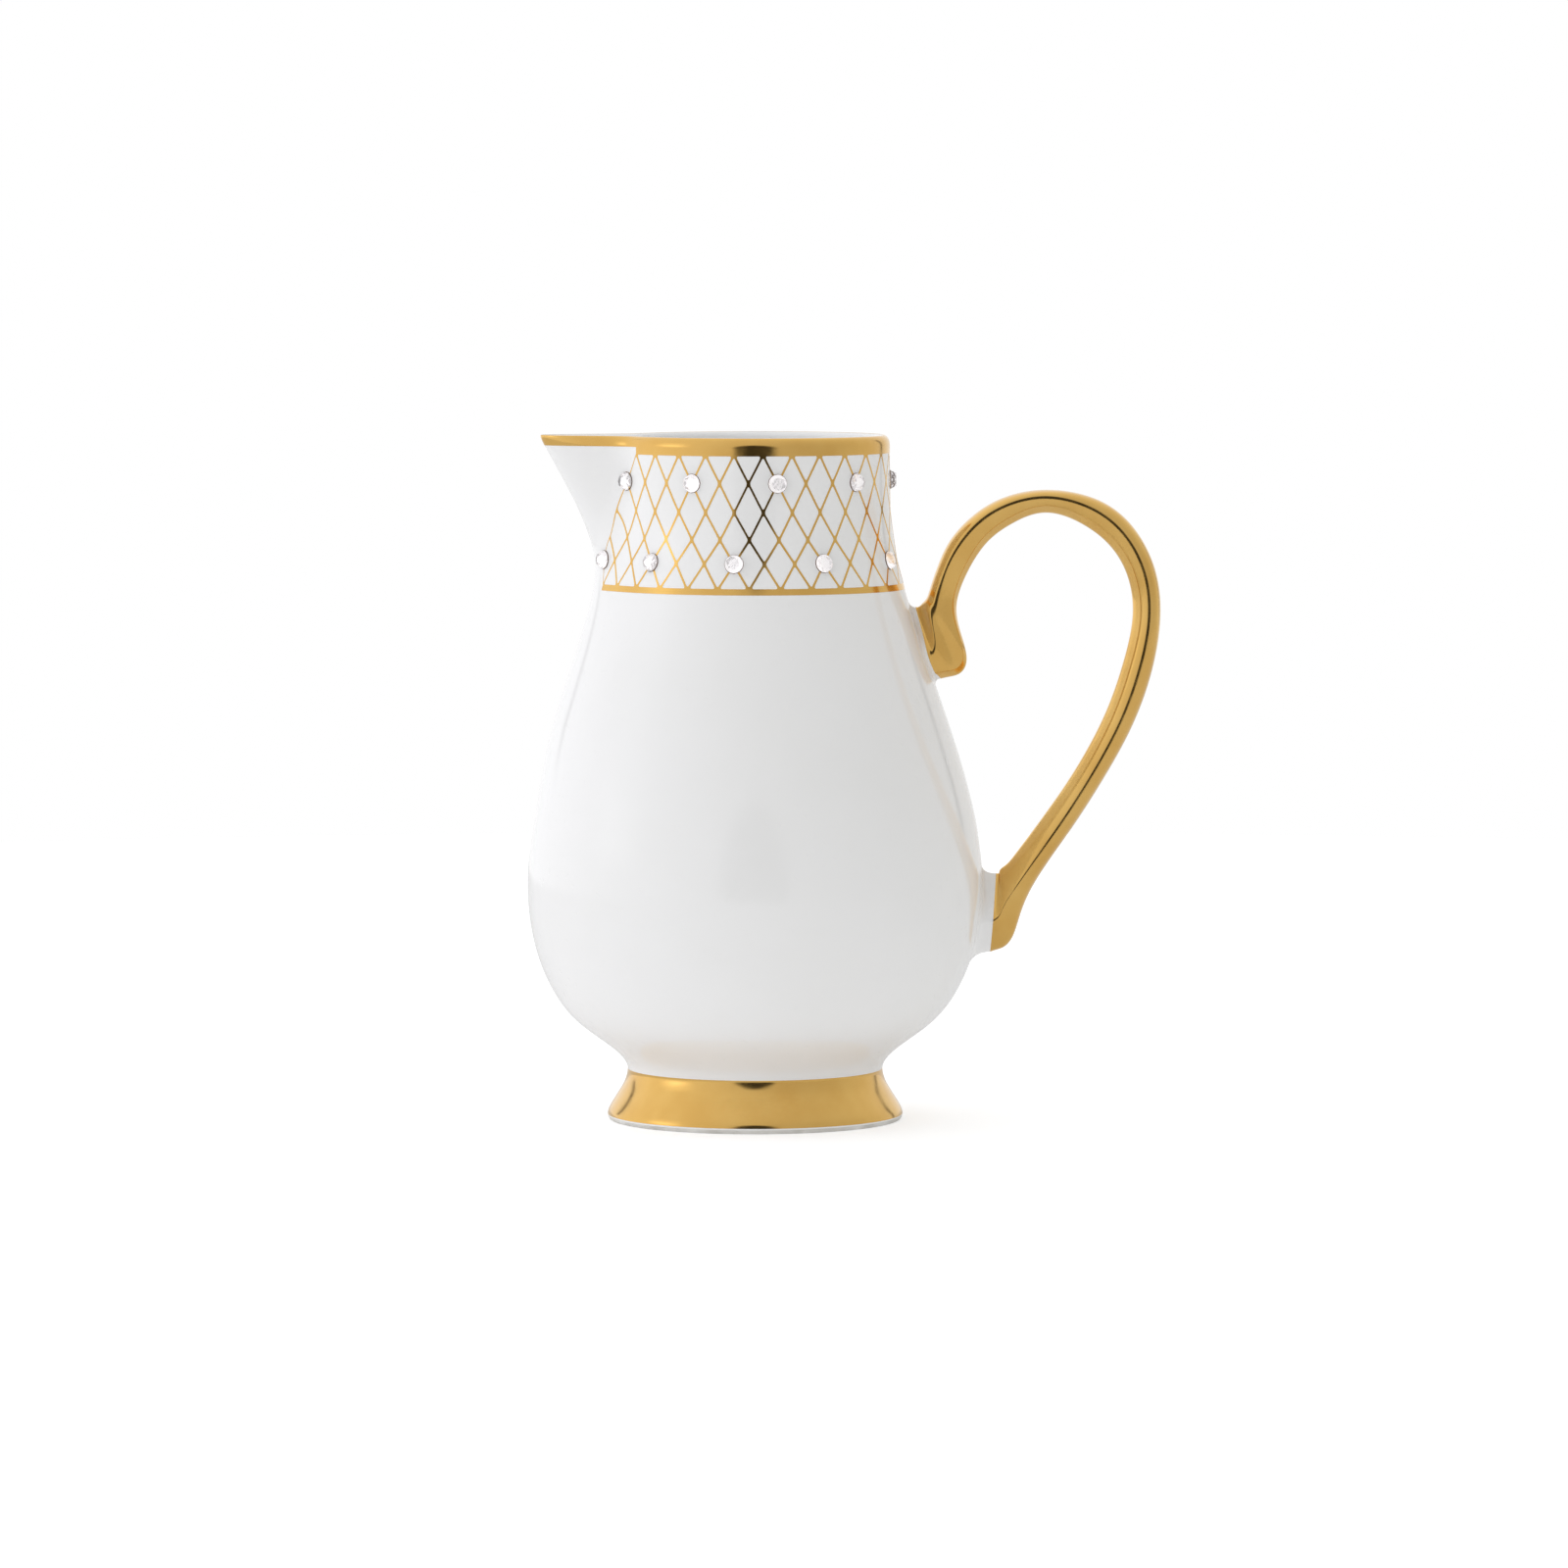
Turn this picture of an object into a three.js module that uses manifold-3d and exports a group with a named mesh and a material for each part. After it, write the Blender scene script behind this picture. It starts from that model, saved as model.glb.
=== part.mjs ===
// Porcelain cream jug: a pear-shaped body with a pinched beak spout and a flared foot, a loop handle,
// fired gold on the rim, foot and handle, a gold lattice round the neck and two rows of glued crystals.
// Millimetres, +Z up, standing on Z = 0. The spout points along -X and the handle along +X.
import * as THREE from "three";
import { mergeVertices } from "three/addons/utils/BufferGeometryUtils.js";
import Module from "manifold-3d";

// Driving dimensions of the body.
const HEIGHT = 110;
const LIP_ROUND = 1.6;
const LIP_START = HEIGHT - LIP_ROUND;
const LIP_CREST = 0.5;
const LIP_CREST_BEAK = 0.1;
const BEAK_SPREAD_RIM = 13;
const BEAK_SPREAD_SHOULDER = 40;
const BEAK_SPREAD_FROM = 100;
const BEAK_SPREAD_OVER = 40;
const BEAK_END = 44;
const INNER_BEAK_REACH = 0.92;
const INNER_BEAK_SPREAD = 0.8;
const RING_POINTS = 48;
const SPOUT_CROWDING = 0.45;

// Outer outline, [height, radius]: foot, crease, belly, neck. Inner and under outlines, [radius, height].
const OUTER_KNOTS = [
  [0.9, 23.72], [1.5, 23.6], [2.2, 23.28], [3.6, 22.43], [5, 21.56], [6.2, 20.93], [7.2, 20.62],
  [8.2, 20.5], [11, 22.3], [15, 27.6], [21, 32.6], [29, 35.6], [38, 36.55], [48, 35.5],
  [60, 32.35], [74, 27.6], [86, 23.85], [95, 22.05], [103, 21.6], [LIP_START, 21.6],
];
const INNER_KNOTS = [
  [0, 10.9], [10, 11.2], [19, 13.2], [26, 17.8], [31, 24.3], [33.6, 32], [34.15, 38], [33.1, 48],
  [30, 60], [25.3, 74], [21.6, 86], [19.8, 95], [19.45, 103], [19.5, LIP_START],
];
const UNDER_OUTLINE = [
  [14.5, 6.9], [17.6, 5.6], [18.8, 3.5], [19.9, 0.9], [20.9, 0], [23.2, 0], [23.55, 0.3],
];
const UNDER_CENTRE = 7.3;
const OUTER_LEVELS = [
  0.9, 1.6, 2.4, 3.7, 5, 6.4, 8.2, 10, 12, 14.5, 17.5, 22, 28, 35, 42, 50, 58, 66, 74, 80, 85,
  89, 93, 96.5, 100, 103, 106, LIP_START,
];
const LIP_LEVELS = [108.95, 109.5, HEIGHT];
const INNER_STEPS = 16;

// How far the beak stands out beyond the round wall, [height, reach].
const BEAK_KNOTS = [
  [BEAK_END, 0], [50, 0.1], [56, 0.65], [63, 1.3], [72, 1.6], [84, 1.9], [90, 2.8], [94, 4.5],
  [99, 7], [104, 9.75], [HEIGHT, 13],
];

// Handle ribs, [outer edge x, z, inner edge x, z, half width], from the upper root to the lower one.
// The first and last ribs lie inside the body's wall. Gold covers the ribs from GILT_FIRST to GILT_LAST.
const HANDLE_RIBS = [
  [23.4, 83.6, 27.6, 69.4, 4.4], [25.8, 82.35, 29.9, 70.95, 3.7], [26.8, 82.9, 32.7, 71.7, 3.45],
  [27.6, 83.9, 33.95, 74.1, 3.3], [28.3, 86, 33.1, 78, 3.2], [29.5, 89.4, 32.3, 82.4, 3.15],
  [31.4, 93.2, 33.7, 87.3, 3.1], [34.9, 97, 36.9, 92.5, 3.05], [40, 100, 41.3, 95.9, 3],
  [47.3, 101.2, 47, 97.6, 3], [55.4, 99.4, 53.3, 95.3, 3], [61.1, 94.6, 57.6, 91.5, 3.05],
  [64.3, 87.9, 60, 86.7, 3.1], [65, 80.6, 60.6, 80.8, 3.15], [63.8, 72.7, 59.2, 73.8, 3.2],
  [60.6, 63.5, 56.2, 65.2, 3.25], [55.6, 54.3, 51.6, 56.5, 3.3], [51.2, 47.4, 47.4, 50.2, 3.35],
  [47.3, 41.8, 44.5, 46.2, 3.4], [44.2, 36.8, 42.4, 43.4, 3.45], [42.5, 32.6, 41.1, 41.7, 3.5],
  [41.4, 29.4, 40.2, 40.8, 3.5], [39.9, 27.7, 39.35, 40, 3.55], [37.8, 26.95, 38.75, 39.55, 3.7],
  [33.6, 24.9, 35.4, 41.2, 4.4],
];
const GILT_FIRST = 1;
const GILT_LAST = HANDLE_RIBS.length - 2;
const RIB_STEPS = 2;
const SECTION_POINTS = 12;
const INNER_SIDE_SQUARENESS = 0.75;
const ROOT_GAP = 0.15;
const SEAT_LOW = 15;
const SEAT_HIGH = 100;
const SEAT_SIDES = 120;

// Gold: every gilded area is a skin over the porcelain.
const GOLD_GAP = 0.06;
const DECAL_GAP = 0.12;
const GOLD_THICKNESS = 0.1;
const FOOT_GOLD_BOTTOM = 0.9;
const FOOT_GOLD_TOP = 8.2;

// Lattice: nodes sit in staggered rows, one column per COLUMN_PITCH degrees, mirrored about the handle.
// The columns are a little closer together at the jug's two sides.
const COLUMN_PITCH = 13.25;
const COLUMN_CROWDING = 2.3;
const MIDDLE_COLUMN = 11.5;
const ROW_TOP = 107.4;
const ROW_LEVELS = [ROW_TOP, 102.9, 98.3, 94, 90.25, 86.2];
const ROW_FIRST_COLUMNS = [0, -0.5, -1, -1.5, -2, -1.5];
const DECAL_BOTTOM = 85.4;
const DECAL_TOP = 108.3;
const STRUT_HALF_WIDTH = 0.19;
const COLUMN_WIDTH = 4.95;
const SQUEEZE_DEGREES = 12;
const SQUEEZE_FROM = 103;
const SQUEEZE_OVER = 9;

// Crystals: flat-backed round stones, one on every third node of two rows.
const STONE_RADIUS = 1.55;
const STONE_HEIGHT = 1;
const STONE_GIRDLE = 0.3;
const STONE_TABLE = 1;
const STONE_SIDES = 12;
const STONE_STANDOFF = 0.4;
const STONE_EVERY = 3;
const STONE_ROWS = [
  { name: "crystal_upper", row: 1, count: 9 },
  { name: "crystal_lower", row: 4, count: 10 },
];

// Steps for measuring the wall's direction, in degrees and mm, and the distance at which points join.
const MEASURE_TURN = 0.5;
const MEASURE_RISE = 0.05;
const WELD_DISTANCE = 1e-4;

const wasm = await Module();
wasm.setup();

// A natural cubic spline through [x, y] knots, as a function of x.
function naturalSpline(knots) {
  const last = knots.length - 1;
  const bend = new Array(last + 1).fill(0);
  const carry = new Array(last + 1).fill(0);
  for (let i = 1; i < last; i++) {
    const [before, here, after] = [knots[i - 1], knots[i], knots[i + 1]];
    const [left, right] = [here[0] - before[0], after[0] - here[0]];
    const jump = (after[1] - here[1]) / right - (here[1] - before[1]) / left;
    const pivot = 2 * (left + right) - left * carry[i - 1];
    carry[i] = right / pivot;
    bend[i] = (6 * jump - left * bend[i - 1]) / pivot;
  }
  for (let i = last - 1; i > 0; i--) bend[i] -= carry[i] * bend[i + 1];
  return (x) => {
    let i = 0;
    while (i < last - 1 && x > knots[i + 1][0]) i++;
    const [[x0, y0], [x1, y1]] = [knots[i], knots[i + 1]];
    const step = x1 - x0;
    const [a, b] = [(x1 - x) / step, (x - x0) / step];
    const sag = ((a ** 3 - a) * bend[i] + (b ** 3 - b) * bend[i + 1]) * step * step / 6;
    return a * y0 + b * y1 + sag;
  };
}

const smoothStep = (t) => THREE.MathUtils.smoothstep(t, 0, 1);
const outerRadius = naturalSpline(OUTER_KNOTS);
const beakSpline = naturalSpline(BEAK_KNOTS);
const beakReach = (z) => (z > BEAK_END ? beakSpline(z) : 0);

// The beak's angular half width, in degrees: narrow at the rim, fading out wide on the shoulder.
function beakSpread(z) {
  const widening = smoothStep((BEAK_SPREAD_FROM - z) / BEAK_SPREAD_OVER);
  return BEAK_SPREAD_RIM + (BEAK_SPREAD_SHOULDER - BEAK_SPREAD_RIM) * widening;
}

// Degrees from the spout, folded into -180 to 180. Positive is the -Y side.
const fromSpout = (azimuth) => THREE.MathUtils.euclideanModulo(azimuth + 180, 360) - 180;

// A point at the given azimuth and height on a round wall of that radius with a beak on it.
function wallPoint(azimuth, z, radius, reachShare = 1, spreadShare = 1) {
  const off = fromSpout(azimuth) / (beakSpread(z) * spreadShare);
  const r = radius + reachShare * beakReach(z) * Math.exp(-off * off);
  const angle = THREE.MathUtils.degToRad(azimuth);
  return new THREE.Vector3(-r * Math.cos(angle), -r * Math.sin(angle), z);
}

function innerPoint(azimuth, z, radius) {
  return wallPoint(azimuth, z, radius, INNER_BEAK_REACH, INNER_BEAK_SPREAD);
}

// The outer face. Levels above LIP_START run over the rounded lip and reach its crest at HEIGHT.
// Along the beak the crest lies close to the outer edge.
function outerPoint(azimuth, level) {
  if (level <= LIP_START) return wallPoint(azimuth, level, outerRadius(level));
  const turn = ((level - LIP_START) / LIP_ROUND) * (Math.PI / 2);
  const z = LIP_START + LIP_ROUND * Math.sin(turn);
  const off = fromSpout(azimuth) / BEAK_SPREAD_RIM;
  const crest = LIP_CREST + (LIP_CREST_BEAK - LIP_CREST) * Math.exp(-off * off);
  const outer = wallPoint(azimuth, z, outerRadius(LIP_START));
  return outer.lerp(innerPoint(azimuth, z, INNER_KNOTS.at(-1)[0]), crest * (1 - Math.cos(turn)));
}

function outerNormal(azimuth, level) {
  const right = outerPoint(azimuth + MEASURE_TURN, level);
  const across = right.sub(outerPoint(azimuth - MEASURE_TURN, level));
  const along = outerPoint(azimuth, level).sub(outerPoint(azimuth, level - MEASURE_RISE));
  return across.cross(along).normalize();
}

function raisedPoint(azimuth, level, height) {
  return outerPoint(azimuth, level).addScaledVector(outerNormal(azimuth, level), height);
}

function geometryOf(vertices, triangles) {
  const geometry = new THREE.BufferGeometry();
  const positions = vertices.flatMap((vertex) => vertex.toArray());
  geometry.setAttribute("position", new THREE.Float32BufferAttribute(positions, 3));
  geometry.setIndex(triangles.flat());
  return geometry;
}

// A closed surface through rings of equal length, with a single point at each end.
function loft(startPoint, rings, endPoint) {
  const count = rings[0].length;
  const vertices = [startPoint, ...rings.flat(), endPoint];
  const at = (ring, i) => 1 + ring * count + (i % count);
  const triangles = [];
  for (let i = 0; i < count; i++) {
    triangles.push([0, at(0, i + 1), at(0, i)]);
    triangles.push([vertices.length - 1, at(rings.length - 1, i), at(rings.length - 1, i + 1)]);
    for (let ring = 0; ring < rings.length - 1; ring++) {
      triangles.push([at(ring, i), at(ring, i + 1), at(ring + 1, i + 1)]);
      triangles.push([at(ring, i), at(ring + 1, i + 1), at(ring + 1, i)]);
    }
  }
  return geometryOf(vertices, triangles);
}

// A flat net of faces on two surface coordinates. skin() turns it into a thin closed shell.
class Net {
  points = [];
  faces = [];
  found = new Map();

  point(a, b) {
    const key = `${a.toFixed(4)},${b.toFixed(4)}`;
    if (!this.found.has(key)) {
      this.found.set(key, this.points.length);
      this.points.push([a, b]);
    }
    return this.found.get(key);
  }

  face(...corners) {
    this.faces.push(corners.map(([a, b]) => this.point(a, b)));
  }

  skin(place, low, high) {
    const count = this.points.length;
    const layer = (height) => this.points.map(([a, b]) => place(a, b, height));
    const vertices = [...layer(high), ...layer(low)];
    const triangles = [];
    const edges = new Set(this.faces.flatMap((f) => f.map((p, i) => `${p}>${f[(i + 1) % f.length]}`)));
    for (const face of this.faces) {
      for (let i = 1; i < face.length - 1; i++) {
        triangles.push([face[0], face[i], face[i + 1]]);
        triangles.push([count + face[0], count + face[i + 1], count + face[i]]);
      }
      face.forEach((p, i) => {
        const q = face[(i + 1) % face.length];
        if (edges.has(`${q}>${p}`)) return;
        triangles.push([count + p, count + q, q]);
        triangles.push([count + p, q, p]);
      });
    }
    return geometryOf(vertices, triangles);
  }
}

// The body's azimuths, crowded towards the spout.
const azimuths = Array.from({ length: RING_POINTS }, (_, i) => {
  const turn = (i / RING_POINTS) * 2 * Math.PI;
  return THREE.MathUtils.radToDeg(turn - SPOUT_CROWDING * Math.sin(turn));
});
const ringOf = (place) => azimuths.map(place);

// The inner outline, as radius and height along its length.
function innerOutline() {
  let travelled = 0;
  const along = INNER_KNOTS.map(([r, z], i) => {
    const [r0, z0] = INNER_KNOTS[Math.max(i - 1, 0)];
    travelled += Math.hypot(r - r0, z - z0);
    return travelled;
  });
  const radius = naturalSpline(INNER_KNOTS.map(([r], i) => [along[i], r]));
  const height = naturalSpline(INNER_KNOTS.map(([, z], i) => [along[i], z]));
  return Array.from({ length: INNER_STEPS }, (_, i) => {
    const s = (travelled * (INNER_STEPS - i)) / INNER_STEPS;
    return [radius(s), height(s)];
  });
}

function bodyGeometry() {
  const under = UNDER_OUTLINE.map(([r, z]) => ringOf((a) => wallPoint(a, z, r)));
  const outside = [...OUTER_LEVELS, ...LIP_LEVELS].map((level) => ringOf((a) => outerPoint(a, level)));
  const inside = innerOutline().map(([r, z]) => ringOf((a) => innerPoint(a, z, r)));
  const underCentre = new THREE.Vector3(0, 0, UNDER_CENTRE);
  const floorCentre = new THREE.Vector3(0, 0, INNER_KNOTS[0][1]);
  return loft(underCentre, [...under, ...outside, ...inside], floorCentre);
}

// A band round the body between two levels, as a skin over the porcelain.
function bandGeometry(levels) {
  const net = new Net();
  azimuths.forEach((azimuth, i) => {
    const next = azimuths[(i + 1) % RING_POINTS];
    for (let k = 0; k < levels.length - 1; k++) {
      const [low, high] = [levels[k], levels[k + 1]];
      net.face([azimuth, low], [next, low], [next, high], [azimuth, high]);
    }
  });
  return net.skin(raisedPoint, GOLD_GAP, GOLD_GAP + GOLD_THICKNESS);
}

// Where a lattice column stands at a given level, in degrees from the spout.
// The columns next to the beak are pushed apart round its root.
function columnAzimuth(column, level) {
  const even = fromSpout(180 + COLUMN_PITCH * (column - MIDDLE_COLUMN));
  const plain = even + COLUMN_CROWDING * Math.sin(THREE.MathUtils.degToRad(2 * even));
  const squeeze = SQUEEZE_DEGREES * smoothStep((SQUEEZE_FROM - level) / SQUEEZE_OVER);
  const shift = (Math.hypot(plain, squeeze) - Math.abs(plain)) * (1 - Math.abs(plain) / 180);
  return plain + Math.sign(plain) * shift;
}

const latticePoint = (column, level, height) => raisedPoint(columnAzimuth(column, level), level, height);

// One lattice cell, from left to left + 1: a frame half a strut wide round a hole.
// It is a diamond between the rows above and below, or half of one at the lattice's edge.
function addCell(net, left, level, above = level, below = level) {
  const isHalf = above === level || below === level;
  const halfHeight = (above - below) / (isHalf ? 1 : 2);
  const side = Math.hypot(COLUMN_WIDTH / 2, halfHeight);
  const inradius = (COLUMN_WIDTH * halfHeight) / (2 * side + (isHalf ? COLUMN_WIDTH : 0));
  const lean = Math.sign(above + below - 2 * level) * inradius;
  const centreLevel = isHalf ? level + lean : (above + below) / 2;
  const scale = 1 - STRUT_HALF_WIDTH / inradius;
  const middle = left + 0.5;
  const inset = ([a, b]) => [middle + (a - middle) * scale, centreLevel + (b - centreLevel) * scale];
  const corners = [[left, level], [middle, below], [left + 1, level], [middle, above]];
  corners.forEach((corner, i) => {
    const next = corners[(i + 1) % corners.length];
    net.face(corner, next, inset(next), inset(corner));
  });
}

// A plain strip of the decal over one column, in two halves so that it follows the wall.
function addStrip(net, left, low, high) {
  for (const from of [left, left + 0.5]) {
    net.face([from, low], [from + 0.5, low], [from + 0.5, high], [from, high]);
  }
}

function latticeGeometry() {
  const net = new Net();
  ROW_LEVELS.forEach((level, row) => {
    const first = ROW_FIRST_COLUMNS[row];
    for (let left = first; left < 2 * MIDDLE_COLUMN - first; left++) {
      addCell(net, left, level, ROW_LEVELS[row - 1], ROW_LEVELS[row + 1]);
      if (row === 0) addStrip(net, left, level, DECAL_TOP);
      if (row === ROW_LEVELS.length - 1) addStrip(net, left, DECAL_BOTTOM, level);
    }
  });
  return net.skin(latticePoint, DECAL_GAP, DECAL_GAP + GOLD_THICKNESS);
}

// The handle's section at a place along its ribs: flatter towards the loop, rounder outside.
const ribSplines = [0, 1, 2, 3, 4].map((k) => naturalSpline(HANDLE_RIBS.map((rib, i) => [i, rib[k]])));

function handlePoint(place, turn, raised) {
  const [outerX, outerZ, innerX, innerZ, halfWidth] = ribSplines.map((spline) => spline(place));
  const outer = new THREE.Vector3(outerX, 0, outerZ);
  const inner = new THREE.Vector3(innerX, 0, innerZ);
  const across = outer.clone().sub(inner);
  const halfDepth = across.length() / 2;
  const [c, s] = [Math.cos(turn), Math.sin(turn)];
  const flattened = c < 0 ? -(Math.abs(c) ** INNER_SIDE_SQUARENESS) : c;
  return outer.add(inner).multiplyScalar(0.5)
    .addScaledVector(across.normalize(), flattened * (halfDepth + raised))
    .add(new THREE.Vector3(0, -s * (halfWidth + raised), 0));
}

const sectionTurns = Array.from({ length: SECTION_POINTS }, (_, i) => (i / SECTION_POINTS) * 2 * Math.PI);
const placesBetween = (first, last) =>
  Array.from({ length: (last - first) * RIB_STEPS + 1 }, (_, i) => first + i / RIB_STEPS);

function asSolid(geometry) {
  const plain = new THREE.BufferGeometry();
  plain.setAttribute("position", geometry.getAttribute("position"));
  plain.setIndex(geometry.getIndex());
  const merged = mergeVertices(plain, WELD_DISTANCE);
  const mesh = { numProp: 3, vertProperties: merged.attributes.position.array };
  return new wasm.Manifold(new wasm.Mesh({ ...mesh, triVerts: new Uint32Array(merged.index.array) }));
}

function fromSolid(solid) {
  const { vertProperties, triVerts } = solid.getMesh();
  const geometry = new THREE.BufferGeometry();
  geometry.setAttribute("position", new THREE.Float32BufferAttribute(vertProperties, 3));
  geometry.setIndex(Array.from(triVerts));
  return geometry;
}

// The handle casting: its roots are cut to the curve of the body that they are stuck to.
function handleGeometry() {
  const places = placesBetween(0, HANDLE_RIBS.length - 1);
  const rings = places.map((place) => sectionTurns.map((turn) => handlePoint(place, turn, 0)));
  const middle = (ring) => {
    const sum = ring.reduce((total, point) => total.add(point), new THREE.Vector3());
    return sum.divideScalar(ring.length);
  };
  const casting = asSolid(loft(middle(rings[0]), rings, middle(rings.at(-1))));
  const levels = OUTER_LEVELS.filter((z) => z > SEAT_LOW && z < SEAT_HIGH);
  const outline = levels.map((z) => new THREE.Vector2(outerRadius(z) + ROOT_GAP, z));
  outline.unshift(new THREE.Vector2(0, levels[0]));
  outline.push(new THREE.Vector2(0, levels.at(-1)));
  const seat = new THREE.LatheGeometry(outline, SEAT_SIDES).rotateX(Math.PI / 2);
  return fromSolid(casting.subtract(asSolid(seat)));
}

function handleGiltGeometry() {
  const net = new Net();
  const places = placesBetween(GILT_FIRST, GILT_LAST);
  for (let i = 0; i < places.length - 1; i++) {
    sectionTurns.forEach((turn, k) => {
      const next = sectionTurns[(k + 1) % SECTION_POINTS];
      net.face([places[i], turn], [places[i], next], [places[i + 1], next], [places[i + 1], turn]);
    });
  }
  return net.skin(handlePoint, GOLD_GAP, GOLD_GAP + GOLD_THICKNESS);
}

const stoneOutline = [
  [0, 0], [STONE_RADIUS, 0], [STONE_RADIUS, STONE_GIRDLE], [STONE_TABLE, STONE_HEIGHT], [0, STONE_HEIGHT],
].map(([r, z]) => new THREE.Vector2(r, z));

function porcelain() {
  return new THREE.MeshStandardMaterial({ color: 0xf2f2f3, roughness: 0.08, metalness: 0 });
}

function gold() {
  return new THREE.MeshStandardMaterial({ color: 0xd2a45a, roughness: 0.12, metalness: 1 });
}

function crystal() {
  return new THREE.MeshStandardMaterial({ color: 0xf4f0f2, roughness: 0.02, metalness: 0.1 });
}

const jug = new THREE.Group();

function addPiece(name, geometry, material) {
  const mesh = new THREE.Mesh(geometry, material);
  mesh.name = name;
  jug.add(mesh);
  return mesh;
}

addPiece("jug_body", bodyGeometry(), porcelain());
addPiece("handle", handleGeometry(), porcelain());
addPiece("handle_gilding", handleGiltGeometry(), gold());
addPiece("rim_gilding", bandGeometry([LIP_START, ...LIP_LEVELS]), gold());
addPiece("lattice_decal", latticeGeometry(), gold());
const footLevels = OUTER_LEVELS.filter((z) => z >= FOOT_GOLD_BOTTOM && z <= FOOT_GOLD_TOP);
addPiece("foot_gilding", bandGeometry(footLevels), gold());

for (const { name, row, count } of STONE_ROWS) {
  for (let i = 0; i < count; i++) {
    const column = ROW_FIRST_COLUMNS[row] + STONE_EVERY * i;
    const level = ROW_LEVELS[row];
    const azimuth = columnAzimuth(column, level);
    const stone = new THREE.LatheGeometry(stoneOutline, STONE_SIDES).rotateX(Math.PI / 2);
    const mesh = addPiece(`${name}_${String(i + 1).padStart(2, "0")}`, stone, crystal());
    mesh.position.copy(raisedPoint(azimuth, level, STONE_STANDOFF));
    mesh.quaternion.setFromUnitVectors(new THREE.Vector3(0, 0, 1), outerNormal(azimuth, level));
  }
}

// The origin lies under the middle of the whole outline, so the jug's own axis stands to one side.
const bounds = new THREE.Box3().setFromObject(jug);
jug.position.x = -(bounds.min.x + bounds.max.x) / 2;

export default jug;
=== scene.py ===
"""Porcelain cream jug with fired gold and glued crystals: the fine surfaces, materials and studio.

Shapes are worked out in millimetres about the jug's own upright axis, with the spout along -X, and
placed in the frame by put(). Azimuths are in degrees from the spout, and positive ones are on -Y.
"""

import math

import bpy
import numpy as np
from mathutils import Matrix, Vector


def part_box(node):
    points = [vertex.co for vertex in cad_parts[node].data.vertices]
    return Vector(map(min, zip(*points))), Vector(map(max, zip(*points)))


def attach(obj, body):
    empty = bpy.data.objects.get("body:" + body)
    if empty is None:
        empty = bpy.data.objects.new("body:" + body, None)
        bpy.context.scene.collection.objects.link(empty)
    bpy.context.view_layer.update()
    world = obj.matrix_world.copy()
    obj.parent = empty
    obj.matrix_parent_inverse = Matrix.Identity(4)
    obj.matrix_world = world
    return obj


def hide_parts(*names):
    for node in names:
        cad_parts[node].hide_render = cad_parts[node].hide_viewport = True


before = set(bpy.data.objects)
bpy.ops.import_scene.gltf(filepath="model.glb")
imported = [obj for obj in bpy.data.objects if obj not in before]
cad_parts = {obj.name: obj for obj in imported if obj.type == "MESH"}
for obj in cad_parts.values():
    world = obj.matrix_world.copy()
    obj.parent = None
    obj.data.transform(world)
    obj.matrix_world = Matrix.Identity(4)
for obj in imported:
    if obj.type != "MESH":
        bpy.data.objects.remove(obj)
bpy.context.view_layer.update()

MM = 0.001

# Body, in mm. Outer knots are (height, radius), inner and under ones (radius, height).
HEIGHT = 110.0
LIP_ROUND = 1.6
LIP_START = HEIGHT - LIP_ROUND
LIP_CREST = 0.5
LIP_CREST_BEAK = 0.1
OUTER_KNOTS = [
    (0.9, 23.72), (1.5, 23.6), (2.2, 23.28), (3.6, 22.43), (5, 21.56), (6.2, 20.93), (7.2, 20.62),
    (8.2, 20.5), (11, 22.3), (15, 27.6), (21, 32.6), (29, 35.6), (38, 36.55), (48, 35.5),
    (60, 32.35), (74, 27.6), (86, 23.85), (95, 22.05), (103, 21.6), (LIP_START, 21.6),
]
INNER_KNOTS = [
    (0, 10.9), (10, 11.2), (19, 13.2), (26, 17.8), (31, 24.3), (33.6, 32), (34.15, 38), (33.1, 48),
    (30, 60), (25.3, 74), (21.6, 86), (19.8, 95), (19.45, 103), (19.5, LIP_START),
]
UNDER_KNOTS = [(0, 7.3), (10, 7.2), (14.5, 6.8), (17.4, 5.5), (18.8, 3.5), (19.8, 1.3), (20.3, 0.4)]
FOOT_RING_INNER = 20.9
FOOT_RING_OUTER = 23.2
FOOT_EDGE_TOP = 0.9
FOOT_EDGE_RADIUS = 23.72

# Beak: how far it stands out beyond the round wall, and how widely, at each height.
BEAK_END = 44.0
BEAK_KNOTS = [
    (BEAK_END, 0), (50, 0.1), (56, 0.65), (63, 1.3), (72, 1.6), (84, 1.9), (90, 2.8), (94, 4.5),
    (99, 7), (104, 9.75), (HEIGHT, 13),
]
BEAK_SPREAD_RIM = 13.0
BEAK_SPREAD_SHOULDER = 40.0
BEAK_SPREAD_FROM = 100.0
BEAK_SPREAD_OVER = 40.0
INNER_BEAK_REACH = 0.92
INNER_BEAK_SPREAD = 0.8

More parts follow.
